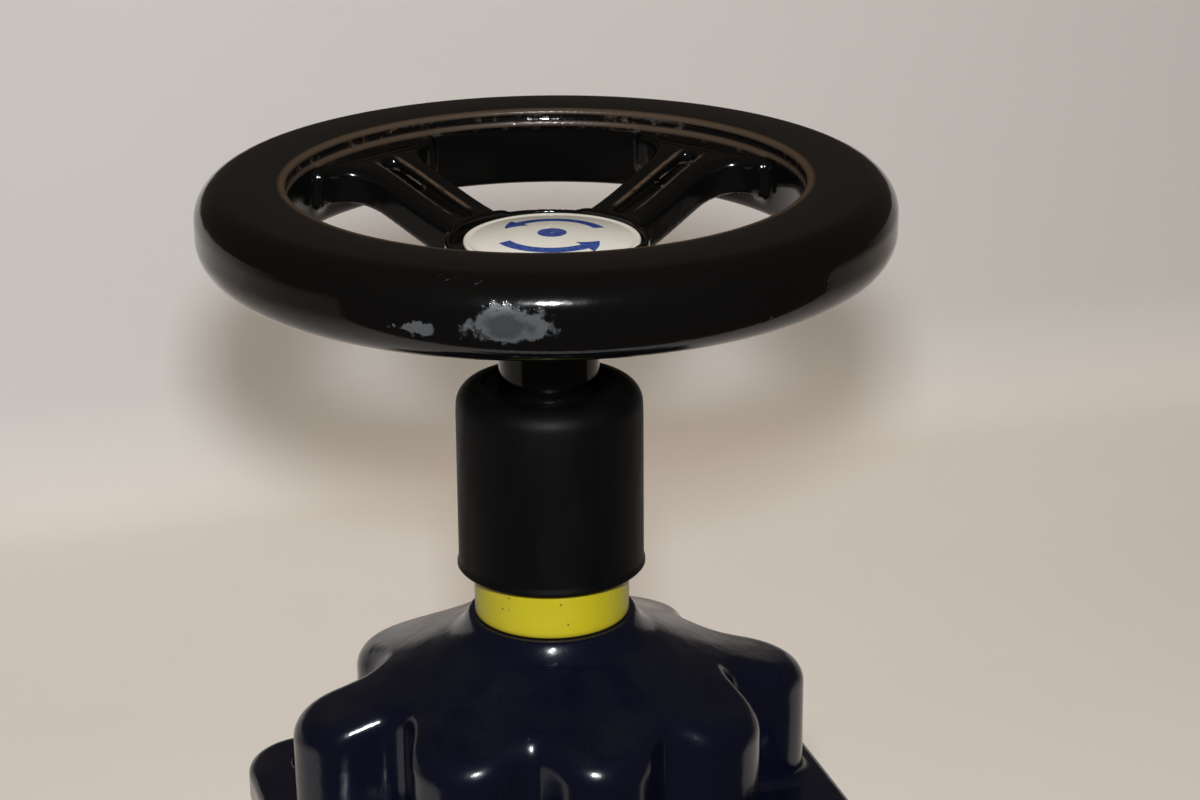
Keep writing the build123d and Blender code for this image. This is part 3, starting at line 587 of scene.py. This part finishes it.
def blue_coating():
    g = Graph("navy_epoxy", (0.0024, 0.0029, 0.0090), 0.2, Specular_IOR_Level=0.42, Coat_Weight=0.1,
              Coat_Roughness=0.08)
    facing = g.node("ShaderNodeNewGeometry").outputs["Normal"]
    up = g.band(g.xyz(facing)[2], 0.55, 1.0)
    dust = g.times(up, g.band(g.noise(0.018, 5, 0.65), 0.35, 0.75))
    specks = g.band(g.noise(0.0016, 2, 0.5), 0.735, 0.76)
    color = g.mix(g.noise(0.040, 3, 0.5), (0.0019, 0.0023, 0.0074), (0.0029, 0.0035, 0.0105))
    color = g.mix(g.times(dust, 0.45), color, (0.0085, 0.0085, 0.0105))
    color = g.mix(g.times(specks, 0.6), color, (0.018, 0.017, 0.016))
    rough = g.add(g.band(g.noise(0.022, 3, 0.5), 0.3, 0.8, 0.13, 0.23), g.times(dust, 0.14))
    wave = g.bump(g.noise(0.014, 2, 0.4), 0.00045, 0.5)
    peel = g.bump(g.noise(0.0034, 3, 0.5), 0.00012, 0.6, wave)
    g.set(Base_Color=color, Roughness=rough, Normal=peel)
    return g.mat


def black_rubber():
    g = Graph("black_rubber", (0.0026, 0.0024, 0.0026), 0.5, Specular_IOR_Level=0.09)
    smear = g.noise(0.012, 4, 0.6, stretch=(1.0, 1.0, 0.25))
    color = g.mix(smear, (0.0012, 0.0011, 0.0012), (0.0026, 0.0023, 0.0024))
    rough = g.band(smear, 0.25, 0.8, 0.42, 0.60)
    fine = g.bump(g.noise(0.0007, 3, 0.6), 0.00003, 0.6)
    soft = g.bump(g.noise(0.006, 2, 0.5), 0.00010, 0.4, fine)
    g.set(Base_Color=color, Roughness=rough, Normal=soft)
    return g.mat


def yellow_plastic():
    g = Graph("yellow_plastic", (0.62, 0.50, 0.012), 0.38, Specular_IOR_Level=0.45, Subsurface_Weight=0.08,
              Subsurface_Scale=0.002)
    z = g.xyz()[2]
    # painted shade: the lowest 1.6 mm of the ring darkened where it sits on the bonnet neck
    shade_at_low_edge = g.band(z, (ring_low[2] + 1.6) * MM, (ring_low[2] + 0.2) * MM)
    stain = g.band(g.noise(0.0045, 4, 0.7), 0.62, 0.78)
    color = g.mix(g.noise(0.010, 4, 0.6), (0.40, 0.325, 0.008), (0.47, 0.39, 0.014))
    color = g.mix(g.times(stain, 0.5), color, (0.30, 0.20, 0.010))
    # darken the ring's bottom edge with the painted shade
    color = g.mix(g.times(shade_at_low_edge, 0.55), color, (0.22, 0.15, 0.006))
    fleck = g.band(g.noise(0.0019, 1, 0.5), 0.745, 0.77)
    color = g.mix(g.times(fleck, 0.8), color, (0.10, 0.06, 0.01))
    rough = g.band(g.noise(0.008, 3, 0.6), 0.3, 0.7, 0.30, 0.46)
    turned = g.bump(g.noise(0.0009, 3, 0.6, stretch=(0.15, 0.15, 1.6)), 0.00004, 0.5)
    g.set(Base_Color=color, Roughness=rough, Normal=turned)
    return g.mat


def ivory_plastic():
    g = Graph("ivory_plastic", (0.66, 0.62, 0.52), 0.10, Specular_IOR_Level=0.5, Coat_Weight=0.8,
              Coat_Roughness=0.03)
    color = g.mix(g.noise(0.008, 4, 0.6), (0.70, 0.68, 0.62), (0.80, 0.78, 0.72))
    speck = g.band(g.noise(0.0014, 2, 0.5), 0.73, 0.76)
    color = g.mix(g.times(speck, 0.6), color, (0.25, 0.21, 0.15))
    rough = g.band(g.noise(0.010, 3, 0.6), 0.3, 0.8, 0.07, 0.16)
    g.set(Base_Color=color, Roughness=rough, Normal=g.bump(g.noise(0.006, 2, 0.4), 0.00005, 0.4))
    return g.mat


def blue_print():
    g = Graph("blue_print", (0.012, 0.040, 0.25), 0.2, Coat_Weight=0.6, Coat_Roughness=0.05)
    worn = g.band(g.noise(0.0011, 4, 0.7), 0.30, 0.75)
    color = g.mix(worn, (0.010, 0.034, 0.22), (0.060, 0.110, 0.34))
    g.set(Base_Color=color, Roughness=g.band(worn, 0, 1, 0.14, 0.28))
    return g.mat


def metal(name, color, dark, rough_low, rough_high, size=0.004, metallic=1.0, stretch=(1, 1, 4)):
    g = Graph(name, color, rough_low, Metallic=metallic)
    blotch = g.noise(size, 5, 0.6)
    lines = g.noise(size * 0.25, 3, 0.6, stretch=stretch)
    g.set(Base_Color=g.mix(blotch, dark, color), Roughness=g.band(lines, 0.25, 0.75, rough_low, rough_high),
          Normal=g.bump(lines, 0.00004, 0.5))
    return g.mat


def make_materials():
    """Materials by the record's slot name."""
    return {
        "black_paint": black_paint(),
        "blue_coating": blue_coating(),
        "black_rubber": black_rubber(),
        "yellow_plastic": yellow_plastic(),
        "white_plastic": ivory_plastic(),
        "blue_print": blue_print(),
        "steel": metal("zinc_steel", (0.56, 0.56, 0.57), (0.34, 0.34, 0.33), 0.24, 0.44),
        "stainless": metal("turned_stainless", (0.62, 0.61, 0.60), (0.44, 0.43, 0.42), 0.16, 0.34),
        "brass": metal("machined_brass", (0.72, 0.52, 0.22), (0.48, 0.33, 0.13), 0.20, 0.38),
        "cast_iron": metal("ductile_iron", (0.060, 0.058, 0.056), (0.030, 0.028, 0.026), 0.45, 0.65,
                           0.0025, 0.6, (1, 1, 1)),
    }


# ---------------------------------------------------------------- small turned pieces
SLEEVE_R, SLEEVE_BORE_R, SLEEVE_NECK_R, SLEEVE_ROOF = 22.05, 18.9, 11.75, 7.0
RING_R, RING_BORE_R = 18.5, 12.4
CAP_R, CAP_HEIGHT, CAP_DOME = 20.5, 2.6, 1.7
MARK_LIFT = 0.03


def make_sleeve():
    """Moulded rubber dust sleeve: round shoulder, ring on its top face, thin lip at the bottom."""
    r, low, top = SLEEVE_R, sleeve_low[2], sleeve_high[2]
    profile = [(SLEEVE_BORE_R, low), (r + 0.15, low), (r + 0.38, low + 0.25)]
    profile += [(r + 0.36, low + 0.7), (r + 0.05, low + 1.5)]
    profile += [(r + 0.02 - 0.004 * k, low + 2 + k * 4.5) for k in range(9)]
    profile += arc((r - 5.0, top - 4.9), 4.9, 2, 88, 12)
    profile += arc((16.3, top - 0.35), 0.35, 90, 180, 4)
    profile += [(15.7, top - 0.9), (12.9, top - 1.2)]
    profile += arc((12.3, top - 0.6 - 1.2), 0.6, 80, 170, 4)
    profile += [(SLEEVE_NECK_R, top - 3), (SLEEVE_NECK_R, top - SLEEVE_ROOF)]
    profile += [(SLEEVE_BORE_R, top - SLEEVE_ROOF), (SLEEVE_BORE_R, low + 4)]
    sleeve = lathe("dust_sleeve_moulding", profile, 192)
    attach(sleeve, "stem_and_handwheel")
    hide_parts("dust_sleeve")
    return sleeve


def make_ring():
    """Plastic ring between the neck and the sleeve, edges broken."""
    r, low, top = RING_R, ring_low[2], ring_high[2]
    profile = [(RING_BORE_R, low), (r - 0.9, low)] + arc((r - 0.7, low + 0.7), 0.7, -80, 0, 5)
    profile += [(r - 0.02, low + 3), (r, low + 6), (r - 0.03, top - 3)]
    profile += arc((r - 0.5, top - 0.5), 0.5, 0, 90, 5) + [(RING_BORE_R, top)]
    ring = lathe("indicator_ring_turned", profile, 160)
    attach(ring, "valve_body")
    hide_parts("indicator_ring")
    return ring


def dome_height(distance):
    """Height of the cap's top above its seat, in millimetres, at a distance from its middle."""
    return CAP_HEIGHT - CAP_DOME * (distance / CAP_R) ** 2


def make_cap():
    """Domed plastic cap pressed into the hub recess, a little off centre."""
    centre = (cap_low + cap_high) / 2
    r, low = CAP_R, cap_low[2]
    profile = [(0.0, low), (r - 0.5, low), (r, low + 0.35)]
    profile += arc((r - 0.55, low + 0.75), 0.55, 0, 75, 5)
    profile += [(d, low + dome_height(d)) for d in np.linspace(r - 1.0, 0, 20)]
    cap = lathe("hub_cap_dome", profile, 128)
    for v in cap.data.vertices:
        v.co.x += centre[0] * MM
        v.co.y += centre[1] * MM
    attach(cap, "stem_and_handwheel")
    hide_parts("hub_cap")
    return cap


def make_mark():
    """Generic turn marks printed on the cap: two curved arrows and a round dot."""
    centre = (cap_low + cap_high) / 2
    work = bmesh.new()

    def point(distance, angle):
        height = cap_low[2] + dome_height(distance) + MARK_LIFT
        x = centre[0] + distance * math.cos(angle)
        y = centre[1] + distance * math.sin(angle)
        return work.verts.new((x * MM, y * MM, height * MM))

    def strip(inner, outer, start, end, steps=28):
        turns = np.linspace(start, end, steps)
        rows = []
        for t in turns:
            rows.append([point(d, t) for d in np.linspace(inner, outer, 4)])
        for a, b in zip(rows, rows[1:]):
            for i in range(3):
                work.faces.new((a[i], a[i + 1], b[i + 1], b[i]))

    def head(inner, outer, start, length):
        middle = (inner + outer) / 2
        rows = []
        for k in range(9):
            share = k / 8
            half = (outer - inner) / 2 * (1 - share)
            rows.append([point(middle + half * s, start + length * share) for s in (-1, -0.33, 0.33, 1)])
        for a, b in zip(rows, rows[1:]):
            for i in range(3):
                work.faces.new((a[i], a[i + 1], b[i + 1], b[i]))

    face = VIEW_SIDE
    for half_turn in (0, math.pi):
        start = face + half_turn + math.radians(25)
        end = face + half_turn + math.radians(128)
        strip(10.6, 13.4, start, end)
        head(8.6, 15.4, end, math.radians(26))
    strip(0.2, 3.4, 0, 2 * math.pi, 40)
    mesh = bpy.data.meshes.new("cap_mark")
    bmesh.ops.remove_doubles(work, verts=work.verts, dist=1e-6)
    bmesh.ops.recalc_face_normals(work, faces=work.faces)
    work.to_mesh(mesh)
    work.free()
    mark = bpy.data.objects.new("cap_mark", mesh)
    bpy.context.collection.objects.link(mark)
    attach(mark, "stem_and_handwheel")
    return mark


def assign(obj, mat):
    obj.data.materials.clear()
    obj.data.materials.append(mat)


def build_object():
    materials = make_materials()
    for entry in frame["record"]["subparts"]:
        assign(NODES[entry["node"]], materials[entry["material_slot"]])
    assign(make_handwheel(), materials["black_paint"])
    assign(make_bonnet(), materials["blue_coating"])
    assign(make_body(), materials["blue_coating"])
    assign(make_sleeve(), materials["black_rubber"])
    assign(make_ring(), materials["yellow_plastic"])
    assign(make_cap(), materials["white_plastic"])
    assign(make_mark(), materials["blue_print"])


# ---------------------------------------------------------------- floor, light and camera
CAMERA_AWAY, CAMERA_ABOVE = 0.64226, 0.18999
CAMERA_PAN = math.radians(1.057)
CAMERA_DOWN = math.radians(20.062)
CAMERA_ROLL = math.radians(-0.406)
CAMERA_LENS, SENSOR_WIDTH = 87.7, 36.0
WALL_Y, WALL_TOP, WALL_BEND = 0.644, 0.30, 0.05
FLOOR_FRONT, FLOOR_HALF_X = -0.13, 2.5


def make_camera():
    """Camera looking down at the wheel from the front, a little to the left of the bonnet's middle."""
    wheel = Vector((0, 0, WHEEL_Z * MM))
    offset = (CAMERA_AWAY * math.sin(VIEW_SIDE), -CAMERA_AWAY * math.cos(VIEW_SIDE), CAMERA_ABOVE)
    place = wheel + Vector(offset)
    heading = CAMERA_PAN - VIEW_SIDE
    down, roll = CAMERA_DOWN, CAMERA_ROLL
    flat = math.cos(down)
    forward = Vector((math.sin(heading) * flat, math.cos(heading) * flat, -math.sin(down)))
    level = Vector((math.cos(heading), -math.sin(heading), 0))
    upward = level.cross(forward)
    right = math.cos(roll) * level + math.sin(roll) * upward
    upward = -math.sin(roll) * level + math.cos(roll) * upward
    data = bpy.data.cameras.new("camera")
    data.lens = CAMERA_LENS
    data.sensor_width = SENSOR_WIDTH
    camera = bpy.data.objects.new("camera", data)
    bpy.context.collection.objects.link(camera)
    turn = Matrix((right, upward, -forward)).transposed()
    camera.matrix_world = Matrix.Translation(place) @ turn.to_4x4()
    bpy.context.scene.camera = camera
    return camera


def area_light(name, place, aim, size, power, color, mirrored=True):
    data = bpy.data.lights.new(name, "AREA")
    data.shape = "RECTANGLE"
    data.size, data.size_y = size
    data.energy = power
    data.color = color
    light = bpy.data.objects.new(name, data)
    bpy.context.collection.objects.link(light)
    light.location = place
    light.rotation_euler = (Vector(aim) - Vector(place)).to_track_quat("-Z", "Y").to_euler()
    light.visible_glossy = mirrored
    return light


def make_backdrop():
    """Pale floor that curves up into a wall behind the valve."""
    g = Graph("pale_paper", (0.78, 0.73, 0.69), 0.85)
    soft = g.noise(0.18, 3, 0.5)
    paper = g.mix(soft, (0.77, 0.74, 0.71), (0.83, 0.80, 0.77))
    cloth = g.mix(soft, (0.74, 0.725, 0.71), (0.79, 0.775, 0.76))
    color = g.mix(g.band(g.xyz()[2], 0.0, 0.03), paper, cloth)
    g.set(Base_Color=color, Normal=g.bump(g.noise(0.003, 3, 0.5), 0.0002, 0.3))
    heading = math.radians(1)
    back, bend = WALL_Y, WALL_BEND
    profile = [(FLOOR_FRONT, 0.0), (back - bend, 0.0)]
    for t in np.linspace(0.15, 1.42, 9):
        profile.append((back - bend + bend * math.sin(t), bend - bend * math.cos(t)))
    profile += [(back, bend), (back + 0.006, WALL_TOP)]
    points, faces = [], []
    for n, (y, z) in enumerate(profile):
        for x in (-FLOOR_HALF_X, FLOOR_HALF_X):
            points.append((x * math.cos(heading) - y * math.sin(heading),
                           x * math.sin(heading) + y * math.cos(heading), z))
        if n:
            faces.append((2 * n - 2, 2 * n - 1, 2 * n + 1, 2 * n))
    floor = mesh_object("floor_and_wall", points, faces)
    assign(floor, g.mat)


FLASH_POWER, WASH_POWER, ROOM_GLOW = 7.2, 7.0, 0.05
COOL, WARM = (0.93, 0.97, 1.0), (1.0, 0.86, 0.72)


def make_lights(camera):
    """A small flash just above the lens, a warm wash down the wall and a faint warm room."""
    world = bpy.data.worlds.new("room")
    world.use_nodes = True
    world.node_tree.nodes["Background"].inputs["Color"].default_value = (*WARM, 1)
    world.node_tree.nodes["Background"].inputs["Strength"].default_value = ROOM_GLOW
    bpy.context.scene.world = world
    bpy.context.scene.view_settings.view_transform = "Standard"
    turn = camera.matrix_world.to_3x3()
    flash_at = camera.matrix_world.translation + turn @ Vector((0, 0.06, 0.02))
    area_light("flash", flash_at, (0, 0, 0.30), (0.035, 0.035), FLASH_POWER, COOL)
    area_light("wall_wash", (0.15, 0.30, 1.25), (0.1, 0.62, 0.2), (1.1, 0.25), WASH_POWER, WARM, False)


build_object()
make_backdrop()
camera = make_camera()
make_lights(camera)
